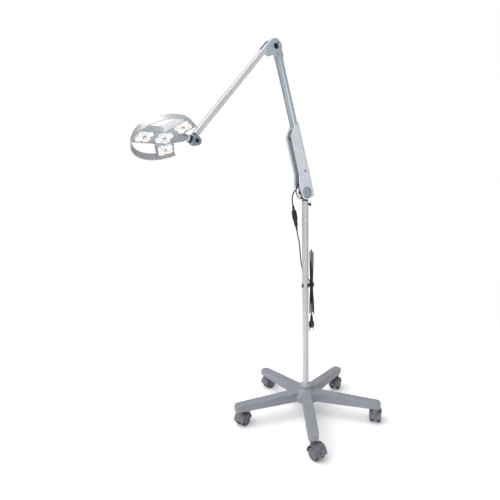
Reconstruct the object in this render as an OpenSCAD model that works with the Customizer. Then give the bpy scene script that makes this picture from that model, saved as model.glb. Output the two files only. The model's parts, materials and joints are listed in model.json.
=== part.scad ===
// Mobile surgical light: five-star base on castors, pole, two jointed arms and a
// three-armed LED head inside a handle ring.  Millimetres, +Z up.
// Origin: on the floor, under the axis of the pole.  The arms fold in the plane y = 0
// and reach toward -X.  Every hinge of the arms runs along Y.

/* [Base] */
// radius from the pole axis to the end of a base arm
base_reach = 306; // [280:2:340]
// width of a base arm
base_arm_w = 40; // [34:1:42]
// height of the underside of the base above the floor
base_under = 66; // [66:0.5:72]
// height of the top of the base hub
hub_top = 124; // [118:1:130]
// azimuth of the first base arm, in degrees
star_turn = 18; // [0:1:71]

/* [Castors] */
// wheel diameter
wheel_d = 50; // [48:1:50]
// width of one wheel of a twin castor
wheel_w = 15; // [12:0.5:15]
// distance from the castor stem to the wheel axle
castor_trail = 18; // [12:1:20]

/* [Pole] */
// outside diameter of the pole
pole_d = 25; // [24:0.5:26]
// height of the top of the pole above the floor
pole_top = 892; // [860:1:900]

/* [Lower arm] */
// lean of the lower arm from upright toward -X, in degrees
lower_lean = 16.5; // [10:0.5:25]
// distance from the casing hinge to the elbow hinge along the tube
lower_len = 550; // [500:5:600]
// outside diameter of the lower tube
tube_d = 30; // [28:0.5:32]
// length of the casing above its hinge
casing_len = 268; // [250:1:290]

/* [Upper arm] */
// lean of the upper arm profile from upright, in degrees
upper_lean = 41.5; // [30:0.5:55]
// distance from the elbow hinge to the wrist hinge along the profile
upper_len = 477; // [430:1:520]

/* [Head] */
// tilt of the head axis at the wrist, in degrees
head_pitch = 15; // [-10:1:20]
// turn of the head about its neck, in degrees
head_roll = -33; // [-60:1:60]
// bend between the neck and the plane of the head, in degrees
head_bend = -18; // [-24:1:0]
// inside radius of the handle ring at its upper rim
ring_r = 97; // [94:0.5:102]
// height of the handle ring band
ring_h = 22; // [18:0.5:24]
// width of an arm of the head
head_arm_w = 56; // [52:0.5:58]

/* [Cord] */
// diameter of the mains lead
lead_d = 5; // [4.5:0.1:5.5]

/* [Hidden] */
$fn = 48;
fit = 0.05;          // radial clearance of a running fit
gap = 0.4;           // clearance between faces that pass each other
seat = 0.02;         // clearance between faces that are fixed together
ring_seat = 0.1;     // the same, between the handle ring and the arms of the head

arm_count = 5;
arm_step = 360 / arm_count;

// base
tip_top = base_under + 25;
hub_r = 56;
arm_root = 26;                    // the arms start inside the hub, clear of each other
hub_neck_r = 27;
hub_under = base_under + 2;       // the hub stands a little above the underside of the arms
hub_flank = [[hub_r, 88], [52, 93], [44, 101], [37, 107.5], [31, 112.5], [hub_neck_r, 116]];
stem_r_at = base_reach - 22;      // castor stem to pole axis
pole_r = pole_d / 2;
pole_wall = 2;
pole_foot = base_under + 14;
cap_h = 6;
hub_bolt_r = 5;

// castors
wheel_r = wheel_d / 2;
web_half = 6;                     // half width of the hood between the wheels
wheel_in = web_half + 0.4;
wheel_out = wheel_in + wheel_w;
fender_in = wheel_r + 1.4;
fender_out = fender_in + 2.4;
fender_half = wheel_out + 1.6;
axle_r = 3;
stem_r = 5.5;
stem_len = 22;
hood_top = base_under - gap;
brake_pin_at = fender_out + 4.5;  // brake hinge to axle
brake_rise = 35;                  // elevation of the brake hinge seen from the axle
brake_half = 9;
// swivel of each castor: azimuth in which the wheels trail behind the stem
trail_dir = [209, 4, 19, -89, 34];

// lower arm, seen in its own frame: x is v (back), z is u (up the tube)
pivot_x = -6;
pivot_z = pole_top + 34;
tube_v = 24;
tube_r = tube_d / 2;
tube_wall = 2;
tube_foot = 60;
casing_half = 20;
channel_half = 12;
channel_floor = 4;
fork_half = 11;
knuckle_half = 10;
knuckle_r = 17;
pivot_r = 5;
dish_r = 22;
dish_floor = 15.5;                // distance of the dish floor from the middle plane
insert_foot = casing_len - 60;    // the insert fills the head of the channel above this height
insert_back = tube_v - tube_r - 0.2;
elbow_v = 6.5;
elbow_u = lower_len;
collar_u0 = lower_len - 46;
collar_u1 = lower_len - 24;

// elbow
clamp_r = 27;
clamp_y0 = -22;
clamp_y1 = 0;
drum_r = 23;
hinge_r = 6;

// upper arm, in its own frame: -z runs down the profile, -x is the outer side
prof_x = -15;
prof_t = 18;
prof_w = 30;
prof_y = 15.5;
prof_wall = 2;
drum_y0 = prof_y - prof_w / 2;
drum_y1 = prof_y + prof_w / 2;
wrist_x = -5;

// wrist
hub_disc_r = 15.5;
block_y0 = -13;
block_y1 = 4;
knuck_y0 = block_y1 + gap;
knuck_y1 = 20;
collar_x1 = -25;
collar_r = 13;
neck_r = 8;

// head, in its own frame: the neck runs along -x, the light shines toward -z
neck_bend_at = -41.5;             // the neck axis meets the plane of the head here
head_x = -77;
shell_lo = -15;
shell_hi = 8;
shell_wall = 2.5;
head_fillet = 24;
ring_t = 3;
ring_lo = -22;
ring_flare = 6;                   // how much wider the lower rim is
cluster_r = 68;
lens_r = 10.4;
lens_pitch = 23;
board_z = -5.5;
board_t = 1.6;
lens_h = 7.8;
cover_t = 2;

// cord
lead_r = lead_d / 2;
mains_r = 2.4;
lead_sides = 8;

// ---------------------------------------------------------------- helpers
function unit(v) = v / norm(v);

// points of an arc that rounds the corner b between a and c
function corner(a, b, c, r, n = 6) =
    let (u = unit(a - b), w = unit(c - b),
         half = acos(u * w) / 2,
         reach = r / tan(half),
         mid = b + unit(u + w) * (r / sin(half)),
         p = b + u * reach - mid,
         q = b + w * reach - mid,
         turn = (p[0] * q[1] - p[1] * q[0] > 0 ? 1 : -1) * (180 - 2 * half))
    [for (i = [0:n])
        let (t = turn * i / n)
        mid + [p[0] * cos(t) - p[1] * sin(t), p[0] * sin(t) + p[1] * cos(t)]];

// outline with every corner rounded; each entry is [x, y, radius]
function rounded(pts, n = 6) =
    let (m = len(pts))
    [for (i = [0:m - 1])
        let (b = [pts[i][0], pts[i][1]],
             a = [pts[(i + m - 1) % m][0], pts[(i + m - 1) % m][1]],
             c = [pts[(i + 1) % m][0], pts[(i + 1) % m][1]])
        each (pts[i][2] > 0 ? corner(a, b, c, pts[i][2], n) : [b])];

function box_outline(x0, x1, y0, y1, r) =
    rounded([[x0, y0, r], [x1, y0, r], [x1, y1, r], [x0, y1, r]]);

// a cylinder along Y from y0 to y1
module y_cyl(r, y0, y1) {
    translate([0, y1, 0]) rotate([90, 0, 0]) cylinder(r = r, h = y1 - y0);
}

// a cylinder along X from x0 to x1
module x_cyl(r, x0, x1) {
    translate([x0, 0, 0]) rotate([0, 90, 0]) cylinder(r = r, h = x1 - x0);
}

// a side-view outline in x,z given thickness from y0 to y1
module slab(pts, y0, y1) {
    translate([0, y1, 0]) rotate([90, 0, 0]) linear_extrude(y1 - y0) polygon(pts);
}

module lower_frame() {
    translate([pivot_x, 0, pivot_z]) rotate([0, -lower_lean, 0]) children();
}

module elbow_frame() {
    lower_frame() translate([elbow_v, 0, elbow_u]) rotate([0, lower_lean, 0]) children();
}

module upper_frame() {
    elbow_frame() rotate([0, upper_lean, 0]) children();
}

module wrist_frame() {
    upper_frame() translate([wrist_x, 0, -upper_len]) rotate([0, head_pitch - upper_lean, 0]) children();
}

module neck_frame() {
    wrist_frame() rotate([head_roll, 0, 0]) children();
}

module head_frame() {
    neck_frame() translate([neck_bend_at, 0, 0]) rotate([0, head_bend, 0]) children();
}

// ---------------------------------------------------------------- base
function arm_side() = rounded([
    [0, base_under, 0],
    [base_reach, base_under, 3],
    [base_reach, tip_top, 8],
    [hub_r + 20, hub_top - 20, 30],
    [0, hub_top - 16, 0]]);

module base_arm() {
    half = base_arm_w / 2;
    intersection() {
        slab(arm_side(), -half, half);
        linear_extrude(hub_top) polygon(rounded([
            [arm_root, -15, 0], [arm_root + 14, -half - 3, 10], [base_reach, -half + 1, half - 4],
            [base_reach, half - 1, half - 4], [arm_root + 14, half + 3, 10], [arm_root, 15, 0]]));
    }
}

module star_base() {
    color([0.52, 0.52, 0.57]) difference() {
        union() {
            for (k = [0:arm_count - 1]) rotate([0, 0, star_turn + k * arm_step]) base_arm();
            rotate_extrude($fn = 96) polygon(concat(
                [[0, hub_under], [hub_r, hub_under]], hub_flank, [[hub_neck_r, hub_top], [0, hub_top]]));
        }
        translate([0, 0, pole_foot]) cylinder(r = pole_r + 0.1, h = hub_top);
        translate([0, 0, hub_under - 1]) cylinder(r = hub_bolt_r + 0.3, h = 30);
        for (k = [0:arm_count - 1])
            rotate([0, 0, star_turn + k * arm_step]) translate([stem_r_at, 0, base_under - 1])
                cylinder(r = stem_r + fit, h = stem_len + 1.5);
    }
}

module base_cap() {
    color([0.72, 0.75, 0.73]) translate([0, 0, hub_top]) difference() {
        rotate_extrude() polygon([[0, 0], [hub_neck_r - 2, 0], [hub_neck_r - 2, cap_h - 2],
            [hub_neck_r - 5, cap_h], [0, cap_h]]);
        translate([0, 0, -1]) cylinder(r = pole_r + 0.1, h = cap_h + 2);
    }
}

module hub_bolt() {
    color([0.6, 0.6, 0.62]) union() {
        translate([0, 0, hub_under - 6]) cylinder(r = 9, h = 6, $fn = 6);
        translate([0, 0, hub_under - 1]) cylinder(r = hub_bolt_r, h = 32);
    }
}

module pole() {
    color([0.78, 0.79, 0.8]) difference() {
        translate([0, 0, pole_foot]) cylinder(r = pole_r, h = pole_top - pole_foot);
        translate([0, 0, pole_foot + 19]) cylinder(r = pole_r - pole_wall, h = pole_top);
        translate([0, 0, pole_foot - 1]) cylinder(r = hub_bolt_r, h = 25);
        thumb_frame() x_cyl(3 + fit, 0, 30);
    }
}

module pole_bush() {
    color([0.2, 0.12, 0.12]) difference() {
        union() {
            translate([0, 0, pole_top]) cylinder(r = pole_r, h = 4);
            translate([0, 0, pole_top - 60]) cylinder(r = pole_r - pole_wall, h = 61);
        }
        translate([0, 0, pole_top - 61]) cylinder(r = stem_core_r + fit, h = 70);
        thumb_frame() x_cyl(3 + fit, 0, 30);
    }
}

// the thumbscrew points outward through the wall of the pole, just under its top
thumb_z = pole_top - 14;
thumb_turn = -40;
stem_core_r = 8.5;
module thumb_frame() {
    translate([0, 0, thumb_z]) rotate([0, 0, thumb_turn]) children();
}

module thumbscrew() {
    color([0.06, 0.06, 0.06]) thumb_frame() union() {
        x_cyl(3, stem_core_r + 0.3, pole_r + 3);
        translate([pole_r + 1, 0, 0]) rotate([0, 90, 0]) difference() {
            cylinder(r1 = 4.5, r2 = 7.5, h = 10);
            for (k = [0:7]) rotate([0, 0, k * 45]) translate([8.2, 0, -1]) cylinder(r = 1.4, h = 14, $fn = 16);
        }
    }
}

// ---------------------------------------------------------------- castors
module castor_frame(k) {
    rotate([0, 0, star_turn + k * arm_step]) translate([stem_r_at, 0, 0])
        rotate([0, 0, trail_dir[k] - star_turn - k * arm_step]) children();
}

module axle_frame() {
    translate([castor_trail, 0, wheel_r]) children();
}

module brake_frame() {
    axle_frame() translate([brake_pin_at * cos(brake_rise), 0, brake_pin_at * sin(brake_rise)]) children();
}

// seen from the side: the upper half of the wheel cover
module fender_side(r) {
    intersection() {
        circle(r = r);
        translate([-r, -4]) square([2 * r, 2 * r]);
    }
}

module castor_hood() {
    boss_r = 12;
    difference() {
        union() {
            difference() {
                axle_frame() translate([0, fender_half, 0]) rotate([90, 0, 0])
                    linear_extrude(2 * fender_half) fender_side(fender_out);
                for (side = [-1, 1]) axle_frame()
                    y_cyl(fender_in, side > 0 ? web_half : -fender_half - 1,
                        side > 0 ? fender_half + 1 : -web_half);
            }
            translate([0, 0, wheel_r + 4]) cylinder(r = boss_r, h = hood_top - wheel_r - 4);
            cylinder_stem();
            for (side = [-1, 1]) brake_frame() slab(rounded([
                [-8, -6, 0], [3, -4, 2.5], [3, 3, 2.5], [-8, 6, 0]], 3),
                side > 0 ? brake_half + 0.3 : -brake_half - 2.8,
                side > 0 ? brake_half + 2.8 : -brake_half - 0.3);
            axle_frame() y_cyl(axle_r, -wheel_out - 0.5, wheel_out + 0.5);
        }
        for (side = [-1, 1]) axle_frame() difference() {
            y_cyl(fender_in, side > 0 ? web_half : -fender_half - 1,
                side > 0 ? fender_half + 1 : -web_half);
            y_cyl(axle_r, -wheel_out - 0.5, wheel_out + 0.5);
        }
    }
    brake_frame() y_cyl(1.5, -brake_half - 1, brake_half + 1);
}

module cylinder_stem() {
    translate([0, 0, hood_top - 2]) cylinder(r = stem_r, h = stem_len + 2);
}

module castor_wheel(side) {
    axle_frame() rotate([side > 0 ? -90 : 90, 0, 0]) translate([0, 0, wheel_in])
        rotate_extrude($fn = 64) polygon([
            [axle_r + fit, 0], [wheel_r - 2, 0], [wheel_r, 2],
            [wheel_r, wheel_w - 3], [wheel_r - 3, wheel_w],
            [wheel_r - 5, wheel_w], [wheel_r - 6, wheel_w - 2],
            [axle_r + 5, wheel_w - 1], [axle_r + fit, wheel_w - 1]]);
}

module castor_brake() {
    brake_frame() difference() {
        union() {
            y_cyl(3.2, -brake_half, brake_half);
            slab(rounded([[0, -1, 0], [14, -9, 1], [15.5, -5.5, 1], [1, 3.2, 0]], 3), -brake_half, brake_half);
            slab([[-0.5, -3.2], [2.5, -3.2], [0.5, -1]], -brake_half, brake_half);
        }
        y_cyl(1.5 + fit, -brake_half - 1, brake_half + 1);
    }
}

module hood_at(k) { color([0.45, 0.46, 0.5]) castor_frame(k) castor_hood(); }
module wheel_at(k, side) { color([0.12, 0.12, 0.13]) castor_frame(k) castor_wheel(side); }
module brake_at(k) { color([0.4, 0.41, 0.45]) castor_frame(k) castor_brake(); }

module castor1_hood() { hood_at(0); }
module castor1_wheel_a() { wheel_at(0, 1); }
module castor1_wheel_b() { wheel_at(0, -1); }
module castor1_brake() { brake_at(0); }
module castor2_hood() { hood_at(1); }
module castor2_wheel_a() { wheel_at(1, 1); }
module castor2_wheel_b() { wheel_at(1, -1); }
module castor2_brake() { brake_at(1); }
module castor3_hood() { hood_at(2); }
module castor3_wheel_a() { wheel_at(2, 1); }
module castor3_wheel_b() { wheel_at(2, -1); }
module castor3_brake() { brake_at(2); }
module castor4_hood() { hood_at(3); }
module castor4_wheel_a() { wheel_at(3, 1); }
module castor4_wheel_b() { wheel_at(3, -1); }
module castor4_brake() { brake_at(3); }
module castor5_hood() { hood_at(4); }
module castor5_wheel_a() { wheel_at(4, 1); }
module castor5_wheel_b() { wheel_at(4, -1); }
module castor5_brake() { brake_at(4); }

// ---------------------------------------------------------------- lower arm
module pivot_stem() {
    color([0.5, 0.58, 0.66]) difference() {
        union() {
            translate([0, 0, pole_top - 50]) cylinder(r = stem_core_r, h = 62);
            translate([pivot_x, 0, pivot_z]) y_cyl(knuckle_r, -knuckle_half, knuckle_half);
            slab([[-9, pole_top + 8], [9, pole_top + 8], [pivot_x + 12, pivot_z], [pivot_x - 12, pivot_z]],
                -8.5, 8.5);
        }
        translate([pivot_x, 0, pivot_z]) y_cyl(pivot_r + fit, -30, 30);
        translate([0, 0, thumb_z - 5]) difference() {
            cylinder(r = 12, h = 10);
            translate([0, 0, -1]) cylinder(r = stem_core_r - 1, h = 12);
        }
    }
}

function casing_side() = rounded([
    [-13, casing_len - 42, 3], [18, casing_len - 6, 10], [45, casing_len, 3],
    [45, -8, 16], [28, -26, 16], [-19, -26, 16],
    [-26, 18, 10], [-25, 44, 8], [-15, 78, 12]]);

module casing_body() {
    difference() {
        intersection() {
            slab(casing_side(), -casing_half, casing_half);
            translate([0, 0, -40]) linear_extrude(casing_len + 60) union() {
                translate([tube_v, 0]) circle(r = casing_half, $fn = 72);
                polygon(rounded([[-40, -casing_half, 0], [tube_v, -casing_half, 0],
                    [tube_v, casing_half, 0], [-40, casing_half, 0]]));
            }
        }
        translate([tube_v, 0, tube_foot]) cylinder(r = tube_r + seat, h = casing_len);
        translate([-60, -channel_half, 30]) cube([60 + channel_floor, 2 * channel_half, casing_len]);
        translate([channel_floor - 1, -channel_half, insert_foot])
            cube([insert_back - channel_floor + 1.7, 2 * channel_half, casing_len - insert_foot]);
        slab([[-40, -40], [knuckle_r + 2, -40], [knuckle_r + 2, 20], [channel_floor, 40], [-40, 40]],
            -fork_half, fork_half);
        y_cyl(pivot_r + fit, -30, 30);
    }
}

button_v = 14;
button_u = 84;
button_r = 3.5;

module casing_right() {
    color([0.9, 0.92, 0.95]) lower_frame() difference() {
        intersection() {
            casing_body();
            translate([-100, -60, -100]) cube([200, 60, 600]);
        }
        y_cyl(dish_r, -40, -dish_floor);
        translate([button_v, 0, button_u]) y_cyl(button_r + 0.2, -40, -tube_r - 1);
    }
}

module casing_left() {
    color([0.88, 0.9, 0.94]) lower_frame() difference() {
        intersection() {
            casing_body();
            translate([-100, 0, -100]) cube([200, 60, 600]);
        }
        y_cyl(dish_r, dish_floor, 40);
        slab([[-40, -40], [-12, -40], [-12, 20], [-15, 25], [-40, 25]], -1, casing_half + 1);
        gland_frame() translate([0, 0, -6]) cylinder(r = 4, h = 14);
    }
}

module casing_insert() {
    half = channel_half - seat;
    color([0.2, 0.21, 0.24]) lower_frame()
        slab([[-6, insert_foot + 16], [insert_back, insert_foot + 37], [insert_back, insert_foot],
            [channel_floor - 0.5, insert_foot], [channel_floor - 0.5, insert_foot + 8]], -half, half);
}

module lower_tube() {
    color([0.6, 0.66, 0.71]) lower_frame() translate([tube_v, 0, tube_foot]) difference() {
        cylinder(r = tube_r, h = collar_u1 - tube_foot);
        translate([0, 0, -1]) cylinder(r = tube_r - tube_wall, h = lower_len);
    }
}

module driver_board() {
    board_half = tube_r - tube_wall - 0.8;
    color([0.1, 0.35, 0.2]) lower_frame() translate([tube_v, 0, 90]) union() {
        translate([-0.8, -board_half, 0]) cube([1.6, 2 * board_half, 120]);
        translate([0.7, -8, 12]) cube([8, 16, 22]);
        translate([0.7, -6, 60]) cube([6, 12, 14]);
    }
}

module friction_knob() {
    color([0.55, 0.6, 0.65]) lower_frame() difference() {
        union() {
            rotate([90, 0, 0]) translate([0, 0, dish_floor + 0.4]) rotate_extrude()
                polygon([[0, 0], [dish_r - 2, 0], [dish_r - 2, 2], [dish_r - 6, 5], [0, 5]]);
            rotate([0, 20, 0]) slab(box_outline(-5, 5, -16, 16, 4.5), -dish_floor - 10, -dish_floor - 4);
        }
        y_cyl(pivot_r + fit, -dish_floor - 6, -10);
    }
}

module pivot_bolt() {
    color([0.62, 0.64, 0.66]) lower_frame() union() {
        y_cyl(pivot_r, -dish_floor - 5, dish_floor + 1);
        rotate([-90, 0, 0]) translate([0, 0, dish_floor]) difference() {
            cylinder(r1 = 15, r2 = 12, h = 6);
            translate([0, 0, 3]) cylinder(r = 4, h = 5, $fn = 6);
        }
    }
}

// the cable outlet under the front edge of the left cheek
gland_v = -18;
gland_y = 16;
gland_u = 27;
gland_turn = -155;
gland_len = 5;
module gland_frame() {
    translate([gland_v, gland_y, gland_u]) rotate([0, gland_turn, 0]) children();
}

module cable_gland() {
    color([0.05, 0.05, 0.06]) lower_frame() gland_frame() difference() {
        translate([0, 0, -6]) cylinder(r = 3.95, h = 6 + gland_len);
        cylinder(r = lead_r + seat, h = 10);
    }
}

module power_button() {
    color([0.35, 0.37, 0.42]) lower_frame() translate([button_v, 0, button_u])
        y_cyl(button_r, -casing_half - 1, -tube_r - 2.2);
}

// ---------------------------------------------------------------- elbow
module tube_knuckle() {
    slit_w = 3;
    color([0.58, 0.65, 0.7]) lower_frame() difference() {
        union() {
            translate([tube_v, 0, collar_u0]) cylinder(r = tube_r + 1.5, h = collar_u1 - collar_u0);
            translate([elbow_v, 0, elbow_u]) y_cyl(clamp_r, clamp_y0, clamp_y1);
            slab([[tube_v - 15, collar_u1 - 12], [tube_v + 14, collar_u1 - 12],
                [elbow_v + 26, elbow_u], [elbow_v - 22, elbow_u]], -15, clamp_y1);
        }
        translate([tube_v, 0, 0]) cylinder(r = tube_r + seat, h = collar_u1);
        translate([elbow_v, 0, elbow_u]) {
            y_cyl(hinge_r + fit, -40, 40);
            y_cyl(11, -40, clamp_y0 + 6);
            rotate([0, -40, 0]) translate([hinge_r - 1, -40, -slit_w / 2]) cube([60, 80, slit_w]);
        }
    }
}

module elbow_bolt() {
    color([0.2, 0.24, 0.27]) elbow_frame() difference() {
        union() {
            y_cyl(hinge_r, clamp_y0 + 1, drum_y1 - 4);
            y_cyl(9, clamp_y0 + 1, clamp_y0 + 5.9);
        }
        rotate([90, 0, 0]) translate([0, 0, -clamp_y0 - 4]) cylinder(r = 5, h = 10, $fn = 6);
    }
}

seat_x = prof_x;                  // the profile is cut back to this plane to seat on the drum
seat_z = -drum_r - 1;
tongue_half = prof_w / 2 - 3.6;   // the tongue of the drum fits inside the profile
module elbow_drum() {
    color([0.62, 0.68, 0.73]) upper_frame() difference() {
        union() {
            difference() {
                y_cyl(drum_r, drum_y0, drum_y1);
                translate([seat_x + seat - 60, drum_y0 - 1, -30]) cube([60, prof_w + 2, 60]);
            }
            translate([seat_x + seat, prof_y - tongue_half, -50])
                cube([prof_t / 2 - prof_wall - 1.6, 2 * tongue_half, 42]);
        }
        y_cyl(hinge_r + fit, drum_y0 - 1, drum_y1 - 3);
    }
}

prof_top = 14;
prof_foot = -upper_len + 20;
prof_r = 4;                       // corner radius of the profile
groove_w = 2.5;                   // a groove runs down the near side
module upper_arm() {
    color([0.88, 0.9, 0.92]) upper_frame() difference() {
        translate([prof_x, prof_y, prof_foot]) linear_extrude(prof_top - prof_foot) difference() {
            polygon(box_outline(-prof_t / 2, prof_t / 2, -prof_w / 2, prof_w / 2, prof_r));
            polygon(box_outline(-prof_t / 2 + prof_wall, prof_t / 2 - prof_wall - 1,
                -prof_w / 2 + prof_wall + 1, prof_w / 2 - prof_wall - 1, 1.5));
            translate([-prof_t / 2 + 3, -prof_w / 2 - 1]) square(groove_w);
        }
        translate([seat_x, drum_y0 - 1, seat_z]) cube([60, prof_w + 2, 60]);
    }
}

module slot_trim() {
    trim_t = 1.2;
    trim_w = 11.5;
    trim_len = 46;
    color([0.02, 0.02, 0.02]) upper_frame()
        translate([prof_x - prof_t / 2 - trim_t, prof_y + 0.5, prof_top - trim_len])
            cube([trim_t, trim_w, trim_len]);
}

// ---------------------------------------------------------------- wrist
module wrist_knuckle() {
    color([0.6, 0.66, 0.7]) upper_frame() difference() {
        union() {
            translate([wrist_x, 0, -upper_len]) y_cyl(hub_disc_r, knuck_y0, knuck_y1);
            translate([wrist_x - 9, knuck_y0, -upper_len]) cube([8, knuck_y1 - knuck_y0, 20]);
            translate([prof_x - 5.9, prof_y - 7, prof_foot - 0.5]) cube([10.8, 14, 30]);
        }
        translate([wrist_x, 0, -upper_len]) {
            y_cyl(4 + fit, 0, knuck_y1 - 3);
            y_cyl(hub_disc_r + gap, block_y0, knuck_y0);
        }
    }
}

module wrist_block() {
    color([0.1, 0.12, 0.14]) wrist_frame() difference() {
        union() {
            y_cyl(hub_disc_r, block_y0, block_y1);
            x_cyl(collar_r, collar_x1, -8);
        }
        difference() {
            y_cyl(hub_disc_r + 1, block_y1, 20);
            translate([-40, block_y1 - 1, -30]) cube([40 - hub_disc_r - 1, 40, 60]);
        }
        translate([-hub_disc_r - 1, block_y1, -30]) cube([60, 40, 60]);
        y_cyl(4 + fit, -40, 40);
        y_cyl(7.2, -40, block_y0 + 5);
        x_cyl(neck_r + fit, collar_x1 - 1, -hub_disc_r - gap);
        rotate([0, -50, 0]) translate([3, -40, -1]) cube([40, 80, 2]);
    }
}

module wrist_bolt() {
    color([0.15, 0.17, 0.2]) wrist_frame() difference() {
        union() {
            y_cyl(4, block_y0 + 1, knuck_y1 - 4);
            y_cyl(6.5, block_y0 + 1, block_y0 + 4.9);
        }
        rotate([90, 0, 0]) translate([0, 0, -block_y0 - 3.5]) cylinder(r = 3, h = 5, $fn = 6);
    }
}

module neck() {
    color([0.78, 0.8, 0.82]) neck_frame() union() {
        x_cyl(neck_r, collar_x1 - 2, -hub_disc_r - gap - 0.4);
        rotate([0, -90, 0]) translate([0, 0, -collar_x1 + gap]) cylinder(r1 = 12.5, r2 = 10.5, h = 8);
    }
}

// ---------------------------------------------------------------- head
bracket_x = -44;
module head_bracket() {
    barrel_r = 10.5;
    foot_half = 26;
    color([0.6, 0.64, 0.68]) {
        neck_frame() x_cyl(barrel_r, neck_bend_at - 4, collar_x1 - gap - 8);
        head_frame() difference() {
            intersection() {
                slab(rounded([[2, -10, 0], [0, 10, 6], [-26, shell_hi + 7, 6], [bracket_x - 16, shell_hi + 7, 4],
                    [bracket_x - 16, shell_hi, 0], [bracket_x, shell_hi, 0], [bracket_x, shell_lo + 3, 0]], 3),
                    -foot_half, foot_half);
                linear_extrude(80, center = true) polygon([
                    [3, -barrel_r], [bracket_x, -foot_half], [bracket_x - 20, -foot_half],
                    [bracket_x - 20, foot_half], [bracket_x, foot_half], [3, barrel_r]]);
            }
            translate([head_x, 0, -40]) linear_extrude(40 + shell_hi + seat) polygon(head_outline(0));
        }
    }
}

// outline of the three-armed head; shrink moves every edge inward
function head_outline(shrink) =
    let (half = head_arm_w / 2 - shrink, reach = ring_r + 6, hollow = half / sin(60))
    rounded([for (k = [0:2]) each [
        [reach * cos(60 + 120 * k) + half * sin(60 + 120 * k),
         reach * sin(60 + 120 * k) - half * cos(60 + 120 * k), 0],
        [reach * cos(60 + 120 * k) - half * sin(60 + 120 * k),
         reach * sin(60 + 120 * k) + half * cos(60 + 120 * k), 0],
        [hollow * cos(120 + 120 * k), hollow * sin(120 + 120 * k), head_fillet + shrink]]]);

// inside radius of the flared ring at height z of the head
function ring_at(z) = ring_r + ring_flare * (ring_lo + ring_h - z) / ring_h;

module head_plate(z0, z1, shrink) {
    translate([head_x, 0, z0]) intersection() {
        linear_extrude(z1 - z0) polygon(head_outline(shrink));
        cylinder(r1 = ring_at(z0) - ring_seat - shrink, r2 = ring_at(z1) - ring_seat - shrink,
            h = z1 - z0, $fn = 96);
    }
}

module head_housing() {
    color([0.8, 0.82, 0.85]) head_frame() difference() {
        head_plate(shell_lo, shell_hi, 0);
        head_plate(shell_lo - 1, shell_hi - shell_wall, shell_wall);
    }
    color([0.8, 0.82, 0.85]) head_frame()
        for (k = [0:2]) translate([head_x, 0, 0]) rotate([0, 0, 60 + 120 * k]) translate([40, 0, board_z])
            cylinder(r = 3, h = shell_hi - shell_wall - board_z + 1);
}

module ring_handle() {
    edge = asin(head_arm_w / 2 / ring_r);
    wide = ring_r + ring_flare;
    color([0.75, 0.76, 0.78]) head_frame() translate([head_x, 0, ring_lo])
        rotate([0, 0, 60 - edge]) rotate_extrude(angle = 240 + 2 * edge, $fn = 120)
            polygon([[wide, 0.8], [wide + 0.8, 0], [wide + ring_t - 0.8, 0], [wide + ring_t, 0.8],
                [ring_r + ring_t, ring_h - 0.8], [ring_r + ring_t - 0.8, ring_h],
                [ring_r + 0.8, ring_h], [ring_r, ring_h - 0.8]]);
}

module led_board() {
    color([0.35, 0.42, 0.5]) head_frame() head_plate(board_z - board_t, board_z, shell_wall + 0.3);
}

// lens clusters, one in the middle and one on each arm: direction, distance, sense of the pattern
cluster_at = [[0, 0, 1], [60, cluster_r, -1], [180, cluster_r, 1], [300, cluster_r, 1]];
module each_lens(parity) {
    for (c = cluster_at) translate([head_x, 0, board_z - board_t]) rotate([0, 0, c[0]])
        translate([c[1], 0, 0])
            for (i = [-0.5, 0.5], j = [-0.5, 0.5])
                if ((i * j * c[2] > 0) == parity) translate([i * lens_pitch, j * lens_pitch, 0])
                    rotate([180, 0, 0]) children();
}

module lens() {
    rotate_extrude() polygon([[0, seat], [4, seat], [lens_r, lens_h - 1.5], [lens_r, lens_h], [0, lens_h]]);
}

module lenses_warm() { color([1, 0.85, 0.6]) head_frame() each_lens(true) lens(); }
module lenses_cool() { color([0.9, 0.96, 1]) head_frame() each_lens(false) lens(); }

module lens_cover() {
    color([0.85, 0.9, 0.95, 0.6]) head_frame() head_plate(shell_lo - cover_t, shell_lo, 0.6);
}

// ---------------------------------------------------------------- cord
// a tube swept along points, closed at both ends
function ring_axes(t) =
    let (side = abs(t[2]) < 0.9 ? [0, 0, 1] : [1, 0, 0], a = unit(cross(t, side)))
    [a, cross(t, a)];

function tangent(p, i) =
    i == 0 ? unit(p[1] - p[0]) : i == len(p) - 1 ? unit(p[i] - p[i - 1]) : unit(p[i + 1] - p[i - 1]);

module sweep(p, r) {
    n = len(p);
    rings = [for (i = [0:n - 1])
        let (ax = ring_axes(tangent(p, i)))
        for (j = [0:lead_sides - 1])
            p[i] + r * (cos(360 * j / lead_sides) * ax[0] + sin(360 * j / lead_sides) * ax[1])];
    quads = [for (i = [0:n - 2], j = [0:lead_sides - 1])
        let (k = (j + 1) % lead_sides)
        [i * lead_sides + j, (i + 1) * lead_sides + j, (i + 1) * lead_sides + k, i * lead_sides + k]];
    polyhedron(rings, concat(quads,
        [[for (j = [0:lead_sides - 1]) j], [for (j = [0:lead_sides - 1]) n * lead_sides - 1 - j]]));
}

// smooth points through a few hand-chosen ones
function smooth(p, n = 4) = [
    for (i = [0:len(p) - 2], s = [0:n - 1])
        let (a = p[max(i - 1, 0)], b = p[i], c = p[i + 1], d = p[min(i + 2, len(p) - 1)], t = s / n)
        0.5 * (2 * b + (c - a) * t + (2 * a - 5 * b + 4 * c - d) * t * t
            + (3 * b - a - 3 * c + d) * t * t * t),
    p[len(p) - 1]];

function lower_point(v, y, u) = [
    pivot_x + v * cos(lower_lean) - u * sin(lower_lean), y,
    pivot_z + v * sin(lower_lean) + u * cos(lower_lean)];

// the in-line connector hangs between the two leads
coupling_a = [-48, 19, 876];
coupling_b = [-26, 20, 770];
coupling_dir = unit(coupling_b - coupling_a);

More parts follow.
